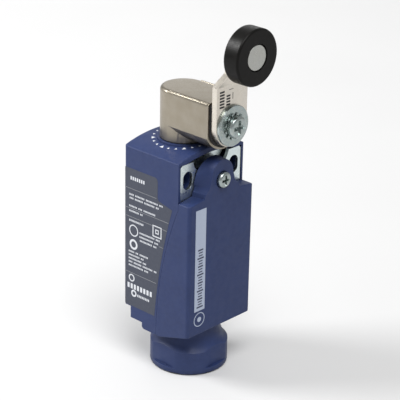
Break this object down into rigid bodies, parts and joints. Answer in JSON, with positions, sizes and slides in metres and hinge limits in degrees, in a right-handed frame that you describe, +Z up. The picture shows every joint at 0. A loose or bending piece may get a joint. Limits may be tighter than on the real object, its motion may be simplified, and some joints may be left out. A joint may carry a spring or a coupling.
{
  "type": "limit switch",
  "caption": "Compact plastic-bodied limit switch with a turning metal head, a spring-return roller lever, an opening front cover with contact block inside, and a threaded cable entry below.",
  "frame": {"origin": "axis of the threaded cable entry, at the mouth of its collar", "axes": "+Z up towards the head along the entry's axis, -Y towards the front cover and the lever, +X to the right as the cover is faced"},
  "size_m": [0.0311, 0.0441, 0.1261],
  "materials": {
    "body_plastic": "fine-textured moulded slate-navy plastic",
    "head_metal": "nickel-plated zinc die casting, satin",
    "lever_metal": "nickel-plated steel, satin",
    "zinc_plate": "bright zinc-plated steel",
    "plate_steel": "plain steel sheet",
    "spring_steel": "drawn spring wire",
    "roller_plastic": "black thermoplastic, satin",
    "rubber_black": "black nitrile rubber",
    "brass": "plain brass",
    "bearing_bronze": "sintered bronze",
    "block_plastic": "black moulded thermoset",
    "carrier_plastic": "natural white acetal",
    "label_grey": "grey print on the moulding",
    "strip_print": "pale blue-grey printed strip"
  },
  "bodies": {
    "case": {"rear_case": "body_plastic", "screw_insert": "brass", "fixing_plate": "plate_steel", "contact_block_housing": "block_plastic", "contact_block_cover": "block_plastic", "terminal_upper_left": "brass", "terminal_upper_right": "brass", "terminal_lower_left": "brass", "terminal_lower_right": "brass", "clamp_plates": "zinc_plate", "terminal_screws": "zinc_plate", "block_screws": "zinc_plate", "carrier_spring": "spring_steel", "rating_label": "label_grey"},
    "cover": {"front_cover": "body_plastic", "cover_gasket": "rubber_black", "cover_screw": "zinc_plate", "front_strip": "strip_print"},
    "latch": {"latch_fork": "plate_steel"},
    "head": {"head_housing": "head_metal", "head_seal_ring": "rubber_black", "shaft_bush": "bearing_bronze", "shaft_seal": "rubber_black", "flange_seal": "rubber_black", "plunger_guide": "bearing_bronze", "return_spring": "spring_steel", "plunger_spring": "spring_steel"},
    "lever": {"lever_arm": "lever_metal", "operating_shaft": "plate_steel", "cam": "plate_steel", "lever_washer": "zinc_plate", "lock_washer": "zinc_plate", "lever_screw": "zinc_plate", "roller_rivet": "lever_metal"},
    "roller": {"roller": "roller_plastic"},
    "plunger": {"head_plunger": "plate_steel"},
    "contacts": {"contact_carrier": "carrier_plastic", "contact_bridge_upper": "brass", "contact_bridge_lower": "brass", "contact_springs": "spring_steel"}
  },
  "joints": [
    {"name": "cover_release", "type": "slide", "parent": "case", "child": "cover", "axis": [0, -1, 0], "range_m": [0, 0.03]},
    {"name": "latch_slide", "type": "slide", "parent": "case", "child": "latch", "axis": [0, -1, 0], "range_m": [0, 0.002]},
    {"name": "head_turn", "type": "hinge", "parent": "case", "child": "head", "pos_m": [0, 0.00405, 0.082], "axis": [0, 0, 1], "range_deg": [-180, 180]},
    {"name": "lever_swing", "type": "hinge", "parent": "head", "child": "lever", "pos_m": [0, -0.0143, 0.0915], "axis": [0, 1, 0], "range_deg": [-70, 70], "stiffness_Nm_per_rad": 0.1},
    {"name": "roller_spin", "type": "hinge", "parent": "lever", "child": "roller", "pos_m": [0, -0.0245, 0.11658], "axis": [0, 1, 0], "continuous": true},
    {"name": "plunger_push", "type": "slide", "parent": "head", "child": "plunger", "axis": [0, 0, -1], "range_m": [0, 0.003], "stiffness_N_per_m": 500, "springref_m": -0.002, "deforming": ["plunger_spring"]},
    {"name": "contacts_follow", "type": "slide", "parent": "case", "child": "contacts", "axis": [0, 0, -1], "range_m": [0, 0.003], "stiffness_N_per_m": 200, "springref_m": -0.002, "deforming": ["carrier_spring"]}
  ],
  "couplings": [
    {"joint": "contacts_follow", "follows": "plunger_push", "ratio": 1}
  ]
}
